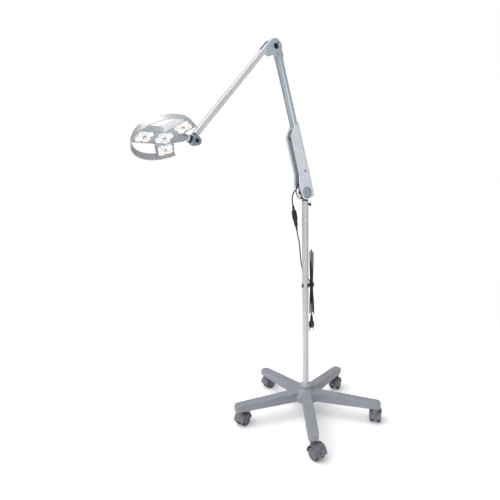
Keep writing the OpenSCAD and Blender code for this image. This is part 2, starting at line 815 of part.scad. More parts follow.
gland_at = lower_point(gland_v, gland_y, gland_u);
gland_dir = [sin(gland_turn - lower_lean), 0, cos(gland_turn - lower_lean)];
lead_route = [gland_at + (gland_len + 0.1) * gland_dir, gland_at + 9 * gland_dir, [-45, 16, 928], [-52, 17, 910],
    coupling_a - 16 * coupling_dir, coupling_a];
mains_route = [coupling_b, coupling_b + 16 * coupling_dir, [-14, 21, 722], [-9, 22, 685], [-5, 22, 650],
    [-1, 21, 625], [6, 20, 603], [15, 16, 583], [23, 6, 568], [27, -1, 556]];
link_route = [[-16, 4, 970.5], [-30, 4, 963], [-42, 4, 945], [-43, 4, 925], [-33, 4, 908], [-20, 3, 901],
    [-11, 3, 900]];

module link_cable() { color([0.15, 0.15, 0.16]) sweep(smooth(link_route), 2.2); }
module lead_upper() { color([0.05, 0.05, 0.05]) sweep(smooth(lead_route), lead_r); }
module mains_lead() { color([0.35, 0.35, 0.37]) sweep(smooth(mains_route), mains_r); }

module along(a, b) {
    d = b - a;
    translate(a) rotate([0, acos(d[2] / norm(d)), atan2(d[1], d[0])]) children();
}

module coupling() {
    length = norm(coupling_b - coupling_a);
    color([0.05, 0.05, 0.06]) along(coupling_a, coupling_b) rotate_extrude() polygon([
        [0, 0.1], [3.4, 0.1], [5, 20], [10, 24], [10, 62], [7.5, 65], [7.5, 84], [4.5, 88],
        [3, length - 0.1], [0, length - 0.1]]);
}

// the spare length of the lead hangs beside the pole as a flat hank
hank_x = 30;
hank_y = -4;
hank_turn = -42;
hank_z0 = 421;
hank_z1 = 694;
hank_half = 11.5;                 // half width of the hank, at its ends
hank_deep = 16.8;                 // half depth of the hank, at its ends
bundle_r = 7.3;                   // its runs are bundled this small in the clip
tie_z = 540;
tie_h = 14;
plug_z = 366;
plug_pin_gap = 19;
plug_pin_r = 2;

module hank_frame() {
    translate([hank_x, hank_y, 0]) rotate([0, 0, hank_turn]) children();
}

// the outline of the hank seen from one side: wide at its ends and narrow in the clip
function hank_side(half) =
    let (ease = 60, low = tie_z - 1, high = tie_z + tie_h + 1)
    rounded([[-half, hank_z0, 6], [half, hank_z0, 6], [half, low - ease, 60], [bundle_r, low, 0],
        [bundle_r, high, 0], [half, high + ease, 60], [half, hank_z1, 6], [-half, hank_z1, 6],
        [-half, high + ease, 60], [-bundle_r, high, 0], [-bundle_r, low, 0], [-half, low - ease, 60]]);

module cord_hank() {
    color([0.12, 0.12, 0.13]) hank_frame() intersection() {
        slab(hank_side(hank_half), -hank_deep, hank_deep);
        rotate([0, 0, 90]) slab(hank_side(hank_deep), -hank_half, hank_half);
    }
}

// a moulded clip: one end snaps round the back of the pole, the other holds the hank
module hank_tie() {
    wall = 2.5;
    hold = bundle_r + seat;
    reach = norm([hank_x, hank_y]);
    color([0.08, 0.08, 0.09]) translate([0, 0, tie_z]) difference() {
        union() {
            cylinder(r = pole_r + wall, h = tie_h);
            rotate([0, 0, atan2(hank_y, hank_x)]) translate([pole_r, -4, 1])
                cube([reach - pole_r, 8, tie_h - 2]);
            hank_frame() translate([-hold - wall, -hold - wall, 0])
                cube([2 * (hold + wall), 2 * (hold + wall), tie_h]);
        }
        translate([0, 0, -1]) cylinder(r = pole_r + seat, h = tie_h + 2);
        rotate([0, 0, -131]) translate([4, -9, -1]) cube([20, 18, tie_h + 2]);
        hank_frame() translate([-hold, -hold, -1]) cube([2 * hold, 2 * hold, tie_h + 2]);
    }
}

module plug() {
    body_h = 25;
    color([0.04, 0.04, 0.05]) translate([hank_x, hank_y, plug_z]) {
        cylinder(r = 10, h = body_h);
        translate([-11.5, -6, 0]) cube([23, 12, body_h - 4]);
        translate([0, 0, body_h]) cylinder(r1 = 8, r2 = 4, h = hank_z0 - plug_z - body_h);
        for (side = [-1, 1]) translate([side * plug_pin_gap / 2, 0, -19]) cylinder(r = plug_pin_r, h = 20);
    }
}

// ---------------------------------------------------------------- draw
star_base();
base_cap();
hub_bolt();
pole();
pole_bush();
thumbscrew();
castor1_hood();
castor1_wheel_a();
castor1_wheel_b();
castor1_brake();
castor2_hood();
castor2_wheel_a();
castor2_wheel_b();
castor2_brake();
castor3_hood();
castor3_wheel_a();
castor3_wheel_b();
castor3_brake();
castor4_hood();
castor4_wheel_a();
castor4_wheel_b();
castor4_brake();
castor5_hood();
castor5_wheel_a();
castor5_wheel_b();
castor5_brake();
pivot_stem();
casing_left();
casing_right();
casing_insert();
lower_tube();
driver_board();
friction_knob();
pivot_bolt();
cable_gland();
link_cable();
power_button();
tube_knuckle();
elbow_bolt();
elbow_drum();
upper_arm();
slot_trim();
wrist_knuckle();
wrist_block();
wrist_bolt();
neck();
head_bracket();
head_housing();
ring_handle();
led_board();
lenses_warm();
lenses_cool();
lens_cover();
lead_upper();
coupling();
mains_lead();
cord_hank();
hank_tie();
plug();
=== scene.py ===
"""Looks of a mobile surgical light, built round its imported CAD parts.

Metres, +Z up, in the CAD's own frame: the floor is z = 0 and the pole's axis is x = y = 0.
Shapes are worked out in millimetres and scaled where a mesh is made.
"""

import json
import math

import bmesh
import bpy
from mathutils import Matrix, Vector


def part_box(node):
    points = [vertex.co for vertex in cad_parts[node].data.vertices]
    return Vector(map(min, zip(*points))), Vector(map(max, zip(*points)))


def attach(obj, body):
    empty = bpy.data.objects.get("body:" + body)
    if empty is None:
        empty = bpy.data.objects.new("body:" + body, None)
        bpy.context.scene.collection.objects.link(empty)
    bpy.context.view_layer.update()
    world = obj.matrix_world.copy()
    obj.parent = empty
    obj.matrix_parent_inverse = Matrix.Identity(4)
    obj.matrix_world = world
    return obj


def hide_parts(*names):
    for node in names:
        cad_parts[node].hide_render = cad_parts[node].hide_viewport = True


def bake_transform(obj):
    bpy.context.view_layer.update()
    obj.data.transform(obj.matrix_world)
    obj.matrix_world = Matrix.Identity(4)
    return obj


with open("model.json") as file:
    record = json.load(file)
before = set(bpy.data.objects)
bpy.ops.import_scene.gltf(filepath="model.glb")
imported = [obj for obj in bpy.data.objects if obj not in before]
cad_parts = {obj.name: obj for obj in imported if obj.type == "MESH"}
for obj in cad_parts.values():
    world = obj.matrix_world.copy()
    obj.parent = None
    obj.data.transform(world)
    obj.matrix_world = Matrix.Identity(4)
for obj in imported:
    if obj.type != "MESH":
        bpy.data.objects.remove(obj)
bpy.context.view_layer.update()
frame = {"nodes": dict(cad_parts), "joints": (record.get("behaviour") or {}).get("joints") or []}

MM = 0.001
JOINTS = {joint["name"]: joint for joint in frame["joints"]}

# ------------------------------------------------------------------ places, as in the CAD
LOWER_LEAN = 16.5
HEAD_PITCH = 15
HEAD_ROLL = -33
HEAD_BEND = -18
NECK_BEND_AT = -41.5
HEAD_CENTRE = -77


def moved(place, x, y, z):
    """The place, moved by millimetres along its own axes."""
    return place @ Matrix.Translation(Vector((x, y, z)) * MM)


def turned(place, axis, degrees):
    """The place, turned about one of its own axes."""
    return place @ Matrix.Rotation(math.radians(degrees), 4, axis)


def at_joint(name):
    return Matrix.Translation(Vector(JOINTS[name]["pos_m"]))


WORLD = Matrix.Identity(4)
LOWER = turned(at_joint("lower_arm_tilt"), "Y", -LOWER_LEAN)
WRIST = turned(at_joint("wrist_tilt"), "Y", HEAD_PITCH)
NECK = turned(WRIST, "X", HEAD_ROLL)
HEAD = moved(turned(moved(NECK, NECK_BEND_AT, 0, 0), "Y", HEAD_BEND), HEAD_CENTRE, 0, 0)


# ------------------------------------------------------------------ camera and lights
VIEW_TURN = 41.3
CAMERA_BACK = 1.689
CAMERA_HEIGHT = 0.949
CAMERA_PAN = -4.0
CAMERA_DOWN = 5.6
CAMERA_ROLL = -0.55
FOCAL_SHARE = 0.84
SHIFT = (-0.052, -0.044)


def make_camera():
    turn, heading = math.radians(VIEW_TURN), math.radians(VIEW_TURN + CAMERA_PAN)
    down, roll = math.radians(CAMERA_DOWN), math.radians(CAMERA_ROLL)
    forward = Vector(
        (math.sin(heading) * math.cos(down), math.cos(heading) * math.cos(down), -math.sin(down))
    )
    level = Vector((math.cos(heading), -math.sin(heading), 0))
    upward = level.cross(forward)
    right = level * math.cos(roll) + upward * math.sin(roll)
    up = right.cross(forward)
    data = bpy.data.cameras.new("camera")
    data.sensor_width = 36
    data.lens = data.sensor_width * FOCAL_SHARE
    data.shift_x, data.shift_y = SHIFT
    camera = bpy.data.objects.new("camera", data)
    bpy.context.scene.collection.objects.link(camera)
    axes = Matrix((right, up, -forward)).transposed().to_4x4()
    spot = Vector((-CAMERA_BACK * math.sin(turn), -CAMERA_BACK * math.cos(turn), CAMERA_HEIGHT))
    camera.matrix_world = Matrix.Translation(spot) @ axes
    bpy.context.scene.camera = camera


def far_light(name, source, strength, softness):
    """A broad, distant light from one direction; softness is its width in degrees."""
    data = bpy.data.lights.new(name, "SUN")
    data.energy = strength
    data.angle = math.radians(softness)
    light = bpy.data.objects.new(name, data)
    bpy.context.scene.collection.objects.link(light)
    light.matrix_world = (-Vector(source)).to_track_quat("-Z", "Y").to_matrix().to_4x4()


def make_world():
    """White to the eye; as a light it is bright above, and dim low down and behind the camera."""
    world = bpy.data.worlds.new("studio")
    world.use_nodes = True
    bpy.context.scene.world = world
    tree = world.node_tree
    nodes, links = tree.nodes, tree.links
    output = nodes["World Output"]
    seen = nodes["Background"]
    seen.inputs["Color"].default_value = (1, 1, 1, 1)
    seen.inputs["Strength"].default_value = 1.0
    lit = nodes.new("ShaderNodeBackground")
    coordinates = nodes.new("ShaderNodeTexCoord")
    parts = nodes.new("ShaderNodeSeparateXYZ")
    height = nodes.new("ShaderNodeMapRange")
    height.inputs["From Min"].default_value = -0.1
    height.inputs["From Max"].default_value = 1.0
    height.inputs["To Min"].default_value = 0.12
    height.inputs["To Max"].default_value = 0.95
    links.new(coordinates.outputs["Generated"], parts.inputs[0])
    links.new(parts.outputs["Z"], height.inputs["Value"])
    turn = math.radians(VIEW_TURN)
    facing = nodes.new("ShaderNodeVectorMath")
    facing.operation = "DOT_PRODUCT"
    facing.inputs[1].default_value = (-math.sin(turn), -math.cos(turn), 0)
    links.new(coordinates.outputs["Generated"], facing.inputs[0])
    dark_side = nodes.new("ShaderNodeMapRange")
    dark_side.inputs["From Min"].default_value = 0.1
    dark_side.inputs["From Max"].default_value = 0.95
    dark_side.inputs["To Min"].default_value = 1.0
    dark_side.inputs["To Max"].default_value = 0.9
    links.new(facing.outputs["Value"], dark_side.inputs["Value"])
    strength = nodes.new("ShaderNodeMath")
    strength.operation = "MULTIPLY"
    links.new(height.outputs["Result"], strength.inputs[0])
    links.new(dark_side.outputs["Result"], strength.inputs[1])
    links.new(strength.outputs["Value"], lit.inputs["Strength"])
    rays = nodes.new("ShaderNodeLightPath")
    mix = nodes.new("ShaderNodeMixShader")
    links.new(rays.outputs["Is Camera Ray"], mix.inputs[0])
    links.new(lit.outputs[0], mix.inputs[1])
    links.new(seen.outputs[0], mix.inputs[2])
    links.new(mix.outputs[0], output.inputs["Surface"])


def beam_light(name, spot, target, size, power, width):
    """A disc that lights only what lies inside its beam; width is the beam's angle in degrees."""
    data = bpy.data.lights.new(name, "AREA")
    data.shape = "DISK"
    data.size = size
    data.energy = power
    data.spread = math.radians(width)
    light = bpy.data.objects.new(name, data)
    bpy.context.scene.collection.objects.link(light)
    aim = (Vector(target) - Vector(spot)).to_track_quat("-Z", "Y")
    light.matrix_world = Matrix.Translation(Vector(spot)) @ aim.to_matrix().to_4x4()


def make_lights():
    """A high key and a low side light from the left, and a weak beam from the front at the arms."""
    far_light("key", (-1.0, 0.2, 1.7), 1.9, 60)
    far_light("side", (-1.0, -0.35, 0.25), 0.45, 60)
    beam_light("fill", (-0.5, -2.6, 0.8), (-0.3, 0, 1.75), 1.2, 4, 75)


# ------------------------------------------------------------------ materials
class Surface:
    """A principled material with short calls for the nodes that feed it."""

    def __init__(self, name):
        self.material = bpy.data.materials.new(name)
        self.material.use_nodes = True
        self.tree = self.material.node_tree
        self.shader = self.tree.nodes["Principled BSDF"]
        self.place = self.tree.nodes.new("ShaderNodeTexCoord").outputs["Object"]

    def set(self, **values):
        for key, value in values.items():
            self.shader.inputs[key.replace("_", " ")].default_value = value
        return self

    def link(self, source, target):
        self.tree.links.new(source, target)

    def noise(self, size_mm, detail=3.0, stretch=(1, 1, 1)):
        """Noise whose features are about size_mm across, longer where stretch is above 1."""
        mapping = self.tree.nodes.new("ShaderNodeMapping")
        mapping.inputs["Scale"].default_value = [1 / s for s in stretch]
        self.link(self.place, mapping.inputs["Vector"])
        texture = self.tree.nodes.new("ShaderNodeTexNoise")
        texture.inputs["Scale"].default_value = 1 / (size_mm * MM)
        texture.inputs["Detail"].default_value = detail
        self.link(mapping.outputs["Vector"], texture.inputs["Vector"])
        return texture.outputs["Fac"]

    def spread(self, source, low, high, start=0.3, end=0.7):
        """A source between start and end, spread over low to high."""
        node = self.tree.nodes.new("ShaderNodeMapRange")
        for key, value in zip(("From Min", "From Max", "To Min", "To Max"), (start, end, low, high)):
            node.inputs[key].default_value = value
        self.link(source, node.inputs["Value"])
        return node.outputs["Result"]

    def mixed(self, share, first, second):
        """A colour between two others; each is a colour or another node's output."""
        node = self.tree.nodes.new("ShaderNodeMix")
        node.data_type = "RGBA"
        self.link(share, node.inputs["Factor"])
        for socket, value in ((node.inputs[6], first), (node.inputs[7], second)):
            if isinstance(value, bpy.types.NodeSocket):
                self.link(value, socket)
            else:
                socket.default_value = (*value, 1)
        return node.outputs[2]

    def eased(self, radius_mm):
        """The normal with sharp edges rounded by that radius."""
        node = self.tree.nodes.new("ShaderNodeBevel")
        node.samples = 4
        node.inputs["Radius"].default_value = radius_mm * MM
        return node.outputs["Normal"]

    def edges(self, normal):
        """1 on edges and 0 on flats, from how far the eased normal leans."""
        true = self.tree.nodes.new("ShaderNodeNewGeometry").outputs["Normal"]
        dot = self.tree.nodes.new("ShaderNodeVectorMath")
        dot.operation = "DOT_PRODUCT"
        self.link(normal, dot.inputs[0])
        self.link(true, dot.inputs[1])
        return self.spread(dot.outputs["Value"], 1, 0, 0.72, 0.97)

    def openness(self, depth_mm):
        """1 in the open, falling toward 0 in hollows of about that depth; the mask for painted shade."""
        node = self.tree.nodes.new("ShaderNodeAmbientOcclusion")
        node.samples = 8
        node.inputs["Distance"].default_value = depth_mm * MM
        return self.spread(node.outputs["AO"], 0, 1, 0.15, 0.85)

    def bumped(self, source, height_mm, normal=None, strength=1.0):
        node = self.tree.nodes.new("ShaderNodeBump")
        node.inputs["Strength"].default_value = strength
        node.inputs["Distance"].default_value = height_mm * MM
        self.link(source, node.inputs["Height"])
        if normal is not None:
            self.link(normal, node.inputs["Normal"])
        return node.outputs["Normal"]


def shade(colour, factor):
    return tuple(min(1.0, channel * factor) for channel in colour)


def coated(name, colour, rough, grain_mm=0.6, grain_depth=0.02, edge_mm=0.8, worn=None, mottle=0.05,
           stretch=(1, 1, 1), hollow_mm=0, **sockets):
    """A painted, moulded or metal surface: mottled colour, uneven gloss and fine grain.

    Its edges are eased and given a lighter painted highlight if edge_mm is given, and its hollows get
    painted shade if a hollow depth is given."""
    surface = Surface(name)
    broad = surface.noise(45, 3, stretch)
    fine = surface.noise(grain_mm, 2, stretch)
    normal = None
    tint = surface.mixed(surface.spread(broad, 0, 1), shade(colour, 1 - mottle), shade(colour, 1 + mottle))
    if edge_mm:
        normal = surface.eased(edge_mm)
        # painted highlight: eased edges get a lighter colour
        tint = surface.mixed(surface.edges(normal), tint, worn or shade(colour, 1.15))
    # painted shade: in hollows the colour darkens towards 0.45 of itself
    if hollow_mm:
        tint = surface.mixed(surface.openness(hollow_mm), shade(colour, 0.45), tint)
    surface.link(tint, surface.shader.inputs["Base Color"])
    smudges = surface.noise(14, 4, stretch)
    gloss = surface.spread(smudges, rough * 0.82, min(1, rough * 1.2))
    surface.link(gloss, surface.shader.inputs["Roughness"])
    surface.link(surface.bumped(fine, grain_depth, normal), surface.shader.inputs["Normal"])
    return surface.set(**sockets).material


def moulded_plastic(name, colour, rough=0.45, grain_mm=0.7, grain_depth=0.03, edge_mm=0.9, **sockets):
    return coated(name, colour, rough, grain_mm, grain_depth, edge_mm, **sockets)


def brushed(name, colour, rough=0.32, stretch=(1, 1, 30), edge_mm=0.6, **sockets):
    """Metal with fine lines along one axis."""
    return coated(name, colour, rough, 0.5, 0.008, edge_mm, mottle=0.04, stretch=stretch, Metallic=0.85,
                  **sockets)


def rubbery(name, colour, rough=0.62):
    return coated(name, colour, rough, 0.5, 0.04, 0, mottle=0.18)


def clear(name, colour, rough=0.03):
    """Clear moulded plastic with faint waviness and a few soft smears."""
    surface = Surface(name)
    waves = surface.noise(9, 2)
    surface.link(surface.bumped(waves, 0.02), surface.shader.inputs["Normal"])
    smears = surface.noise(22, 4)
    surface.link(surface.spread(smears, rough, rough + 0.08, 0.45, 0.8), surface.shader.inputs["Roughness"])
    surface.link(surface.mixed(smears, colour, shade(colour, 0.96)), surface.shader.inputs["Base Color"])
    return surface.set(Alpha=0.2, IOR=1.46).material


def glowing(name, colour, glow):
    """A phosphor chip: grainy colour and a weak light of its own."""
    surface = Surface(name)
    grain = surface.noise(0.35, 3)
    surface.link(surface.mixed(grain, shade(colour, 0.85), colour), surface.shader.inputs["Base Color"])
    surface.link(surface.bumped(grain, 0.03), surface.shader.inputs["Normal"])
    return surface.set(Roughness=0.5, Emission_Color=(*colour, 1), Emission_Strength=glow).material


def circuit_board(name, colour):
    """Solder mask with a faint pattern of copper tracks under it."""
    surface = Surface(name)
    tracks = surface.tree.nodes.new("ShaderNodeTexBrick")
    tracks.inputs["Scale"].default_value = 55
    tracks.inputs["Mortar Size"].default_value = 0.03
    tracks.inputs["Color1"].default_value = (*shade(colour, 1.0), 1)
    tracks.inputs["Color2"].default_value = (*shade(colour, 0.93), 1)
    tracks.inputs["Mortar"].default_value = (*shade(colour, 1.12), 1)
    surface.link(surface.place, tracks.inputs["Vector"])
    cloud = surface.noise(30, 3)
    tint = surface.mixed(surface.spread(cloud, 0, 0.25), tracks.outputs["Color"], shade(colour, 1.2))
    surface.link(tint, surface.shader.inputs["Base Color"])
    surface.link(surface.bumped(tracks.outputs["Fac"], 0.04), surface.shader.inputs["Normal"])
    return surface.set(Roughness=0.28, Coat_Weight=0.4).material


# Materials given an edge_mm get a painted highlight along their edges; those given a hollow depth get
# painted shade in their hollows.
BASE_GREY = moulded_plastic("base_grey", (0.27, 0.277, 0.318), 0.5, 1.1, 0.08, 2.0, hollow_mm=40)
HOOD_GREY = moulded_plastic("hood_grey", (0.15, 0.155, 0.178), 0.42, 0.8, 0.04, 1.0)
CAP_GREY = moulded_plastic("cap_grey", (0.38, 0.4, 0.385), 0.5, 0.9, 0.04, 0.9)
WHEEL_GREY = moulded_plastic("wheel_grey", (0.15, 0.153, 0.17), 0.4, 0.7, 0.03, 0.7)
TYRE = rubbery("tyre", (0.024, 0.024, 0.027))
POLE_PAINT = coated("pole_paint", (0.6, 0.62, 0.66), 0.36, 0.5, 0.015, 0, stretch=(1, 1, 8), Metallic=0.15)
BUSH = moulded_plastic("bush", (0.035, 0.018, 0.018), 0.5)
STEM_METAL = coated("stem_metal", (0.2, 0.26, 0.32), 0.35, 0.5, 0.02, 0.8, Metallic=0.5)
# white_shell: a whiter painted highlight along its edges, and painted shade in its hollows such as the
# casing's channel.
WHITE_SHELL = moulded_plastic("white_shell", (0.81, 0.85, 0.92), 0.33, 0.9, 0.02, 1.4,
                              worn=(0.9, 0.93, 0.97), hollow_mm=45, Coat_Weight=0.15)
DARK_INSERT = moulded_plastic("dark_insert", (0.23, 0.24, 0.27), 0.5)
TUBE_METAL = coated("tube_metal", (0.55, 0.62, 0.67), 0.34, 0.45, 0.01, 0, stretch=(1, 1, 12), Metallic=0.3)
CAST_METAL = coated("cast_metal", (0.55, 0.62, 0.67), 0.36, 0.8, 0.03, 0.7, hollow_mm=10, Metallic=0.25)
ARM_COAT = coated("arm_coat", (0.76, 0.78, 0.81), 0.3, 0.6, 0.012, 0, stretch=(1, 1, 6), Metallic=0.1)
KNOB_GREY = moulded_plastic("knob_grey", (0.42, 0.47, 0.52), 0.38, 0.7, 0.03, 1.2, hollow_mm=9)
DARK_METAL = coated("dark_metal", (0.04, 0.052, 0.062), 0.34, 0.5, 0.02, 0.7, Metallic=0.5)
HUB_METAL = coated("hub_metal", (0.3, 0.36, 0.41), 0.36, 0.7, 0.02, 0.8, hollow_mm=8, Metallic=0.3)
BLACK_TRIM = moulded_plastic("black_trim", (0.008, 0.008, 0.009), 0.42, 0.6, 0.03, 0.5)
STEEL = brushed("steel", (0.42, 0.43, 0.45))
BRACKET_GREY = coated("bracket_grey", (0.27, 0.31, 0.355), 0.36, 0.7, 0.03, 1.2, Metallic=0.25)
NECK_GREY = coated("neck_grey", (0.58, 0.6, 0.63), 0.32, 0.6, 0.02, 0.6, Metallic=0.3)
SILVER_SHELL = coated("silver_shell", (0.55, 0.565, 0.59), 0.36, 0.7, 0.015, 0, hollow_mm=14, Metallic=0.3)
RING_SILVER = coated("ring_silver", (0.58, 0.585, 0.6), 0.42, 0.5, 0.01, 0, stretch=(3, 3, 1), Metallic=0.5)
BOARD_BLUE = circuit_board("board_blue", (0.2, 0.25, 0.31))
BOARD_GREEN = circuit_board("board_green", (0.02, 0.12, 0.05))
COVER_CLEAR = clear("cover_clear", (0.97, 0.985, 1.0))
# Lens rims, chip bases and cluster walls: white plastic with a painted glow, as they are no lamps.
RIM_PAINTED_GLOW = moulded_plastic("rim_painted_glow", (0.93, 0.95, 0.98), 0.2, 0.8, 0.01, 0, Coat_Weight=0.6,
                            Emission_Color=(0.93, 0.96, 1.0, 1), Emission_Strength=0.35)
# The reflector bowls carry a painted glow and a painted reflection of their chips' colour: orange in the
# warm bowls, bluish in the cool ones.
BOWL_WARM = moulded_plastic("bowl_warm", (0.95, 0.8, 0.66), 0.2, 0.5, 0.01, 0, Metallic=0.2,
                            Emission_Color=(1.0, 0.78, 0.58, 1), Emission_Strength=0.2)
BOWL_COOL = moulded_plastic("bowl_cool", (0.86, 0.92, 0.98), 0.2, 0.5, 0.01, 0, Metallic=0.2,
                            Emission_Color=(0.8, 0.9, 1.0, 1), Emission_Strength=0.25)
CHIP_WARM = glowing("chip_warm", (0.95, 0.5, 0.16), 0.8)
CHIP_COOL = glowing("chip_cool", (0.95, 0.97, 1.0), 1.6)
CORD_BLACK = rubbery("cord_black", (0.014, 0.014, 0.016), 0.5)
CORD_GREY = rubbery("cord_grey", (0.045, 0.045, 0.05), 0.5)
PIN_METAL = brushed("pin_metal", (0.62, 0.6, 0.55), 0.25)


# ------------------------------------------------------------------ mesh helpers
def add_object(name, mesh, finish, smooth_angle=38):
    mesh.materials.clear()
    mesh.materials.append(finish)
    mesh.shade_smooth()
    mesh.set_sharp_from_angle(angle=math.radians(smooth_angle))
    item = bpy.data.objects.new(name, mesh)
    bpy.context.scene.collection.objects.link(item)
    return item


def from_points(name, points, faces, place, finish, smooth_angle=38):
    """A mesh from points in millimetres at a place, welded and with its faces turned outward."""
    mesh = bpy.data.meshes.new(name)
    mesh.from_pydata([place @ (Vector(p) * MM) for p in points], [], faces)
    work = bmesh.new()
    work.from_mesh(mesh)
    bmesh.ops.remove_doubles(work, verts=work.verts, dist=1e-6)
    bmesh.ops.recalc_face_normals(work, faces=work.faces)
    work.to_mesh(mesh)
    work.free()
    return add_object(name, mesh, finish, smooth_angle)


def corner(before, point, after, radius, count):
    """Points of the arc that rounds one corner of an outline."""
    u, w = (before - point).normalized(), (after - point).normalized()
    half = u.angle(w) / 2
    if half > math.radians(89):
        return [point]
    centre = point + (u + w).normalized() * (radius / math.sin(half))
    start = point + u * (radius / math.tan(half)) - centre
    end = point + w * (radius / math.tan(half)) - centre
    turn = math.atan2(start.x * end.y - start.y * end.x, start.dot(end))
    arc = []
    for i in range(count + 1):
        angle = turn * i / count
        arc.append(centre + Vector((start.x * math.cos(angle) - start.y * math.sin(angle),
                                    start.x * math.sin(angle) + start.y * math.cos(angle))))
    return arc


def rounded(outline, count=5, closed=True):
    """An outline of (x, y, radius) with its corners rounded."""
    points = [Vector(p[:2]) for p in outline]
    out = []
    for i, (_, _, radius) in enumerate(outline):
        if radius == 0 or (not closed and i in (0, len(outline) - 1)):
            out.append(points[i])
        else:
            out += corner(points[i - 1], points[i], points[(i + 1) % len(points)], radius, count)
    return out


def lathe(name, profile, place, finish, steps=64, rounds=4):
    """A solid of revolution about the place's Z; profile is (radius, z, rounding) from axis to axis."""
    line = rounded(profile, rounds, closed=False)
    points, faces = [], []
    for p in line:
        for k in range(steps):
            angle = 2 * math.pi * k / steps
            points.append((max(p.x, 0) * math.cos(angle), max(p.x, 0) * math.sin(angle), p.y))
    for i in range(len(line) - 1):
        for k in range(steps):
            n = (k + 1) % steps
            faces.append((i * steps + k, i * steps + n, (i + 1) * steps + n, (i + 1) * steps + k))
    return from_points(name, points, faces, place, finish)


def closed_lathe(name, profile, place, finish, steps=64, rounds=4):
    """A ring of revolution whose section is a closed outline."""
    line = rounded(profile, rounds)
    points, faces = [], []
    for p in line:
        for k in range(steps):
            angle = 2 * math.pi * k / steps
            points.append((p.x * math.cos(angle), p.x * math.sin(angle), p.y))
    for i in range(len(line)):
        j = (i + 1) % len(line)
        for k in range(steps):
            n = (k + 1) % steps
            faces.append((i * steps + k, i * steps + n, j * steps + n, j * steps + k))
    return from_points(name, points, faces, place, finish)


def prism(name, outline, low, high, place, finish, edge=0.0):
    """An outline in the place's X and Y, raised from low to high, with its edges bevelled."""
    mesh = bpy.data.meshes.new(name)
    work = bmesh.new()
    bottom = [work.verts.new((p[0], p[1], low)) for p in outline]
    face = work.faces.new(bottom)
    raised = bmesh.ops.extrude_face_region(work, geom=[face])
    top = [item for item in raised["geom"] if isinstance(item, bmesh.types.BMVert)]
    bmesh.ops.translate(work, verts=top, vec=(0, 0, high - low))
    bmesh.ops.recalc_face_normals(work, faces=work.faces)
    if edge:
        sharp = [e for e in work.edges if e.calc_face_angle(0) > math.radians(50)]
        bmesh.ops.bevel(work, geom=sharp, offset=edge, segments=3, affect="EDGES", profile=0.6)
    for vert in work.verts:
        vert.co = place @ (vert.co * MM)
    work.to_mesh(mesh)
    work.free()
    return add_object(name, mesh, finish)


def block(name, x0, x1, y0, y1, z0, z1, place, finish, edge=0.4):
    return prism(name, [(x0, y0), (x1, y0), (x1, y1), (x0, y1)], z0, z1, place, finish, edge)


def joined(name, items):
    """Several objects as one piece, with their materials kept."""
    bpy.ops.object.select_all(action="DESELECT")
    for item in items:
        item.select_set(True)
    bpy.context.view_layer.objects.active = items[0]
    bpy.ops.object.join()
    items[0].name = name
    return items[0]


def sweep(name, path, radius, finish, sides=14, ridges=0):
    """A closed tube along a path in millimetres; radius is a number or a function of the share run."""
    line = [Vector(p) for p in path]
    reach = [0.0]
    for a, b in zip(line, line[1:]):
        reach.append(reach[-1] + (b - a).length)
    last = len(line) - 1
    tangents = [(line[min(i + 1, last)] - line[max(i - 1, 0)]).normalized() for i in range(len(line))]
    side = tangents[0].orthogonal().normalized()
    points, faces = [], []
    for i, (p, t) in enumerate(zip(line, tangents)):
        side = (side - t * side.dot(t)).normalized()
        other = t.cross(side)
        size = radius(reach[i] / reach[-1]) if callable(radius) else radius
        for k in range(sides):
            angle = 2 * math.pi * k / sides
            swell = 1 + (0.06 * math.cos(ridges * angle) if ridges else 0)
            points.append(p + (side * math.cos(angle) + other * math.sin(angle)) * size * swell)
    for i in range(len(line) - 1):
        for k in range(sides):
            n = (k + 1) % sides
            faces.append((i * sides + k, i * sides + n, (i + 1) * sides + n, (i + 1) * sides + k))
    faces.append(tuple(range(sides)))
    faces.append(tuple(last * sides + k for k in range(sides)))
    return from_points(name, points, faces, WORLD, finish, 60)


def smooth(points, count=4):
    """Points of a smooth curve through a few chosen ones, as in the CAD."""
    line = [Vector(p) for p in points]
    out = []
    for i in range(len(line) - 1):
        a, b, c, d = line[max(i - 1, 0)], line[i], line[i + 1], line[min(i + 2, len(line) - 1)]
        for s in range(count):
            t = s / count
            out.append(0.5 * (2 * b + (c - a) * t + (2 * a - 5 * b + 4 * c - d) * t * t
                              + (3 * b - a - 3 * c + d) * t * t * t))
    return out + [line[-1]]


def along(a, b):
    """A place at a whose Z runs toward b."""
    a, b = Vector(a), Vector(b)
    return Matrix.Translation(a * MM) @ (b - a).to_track_quat("Z", "X").to_matrix().to_4x4()


# ------------------------------------------------------------------ cords: points as in the CAD
GLAND = (-18, 16, 27)
GLAND_TURN = -155
GLAND_LEN = 5
COUPLING_A = Vector((-48, 19, 876))
COUPLING_B = Vector((-26, 20, 770))
COUPLING_AXIS = (COUPLING_B - COUPLING_A).normalized()
LEAD_R = 2.5
MAINS_R = 2.4
LINK_R = 2.2
HANK_PLACE = turned(moved(WORLD, 30, -4, 0), "Z", -42)
HANK_TOP = 694
HANK_BOTTOM = 421
CLIP_TOP = 554
CLIP_BOTTOM = 540
PLUG_Z = 366


def lower_point(v, y, u):
    return LOWER @ (Vector((v, y, u)) * MM) / MM


def lead_route():
    """From the gland to the connector and on into its strain relief."""
    gland = lower_point(*GLAND)
    lean = math.radians(GLAND_TURN - LOWER_LEAN)
    out = Vector((math.sin(lean), 0, math.cos(lean)))
    inside = 24
    return smooth([gland + (GLAND_LEN + 0.1) * out, gland + 9 * out, (-45, 16, 928), (-52, 17, 910),
                   COUPLING_A - 16 * COUPLING_AXIS,
                   COUPLING_A, COUPLING_A + inside * COUPLING_AXIS])


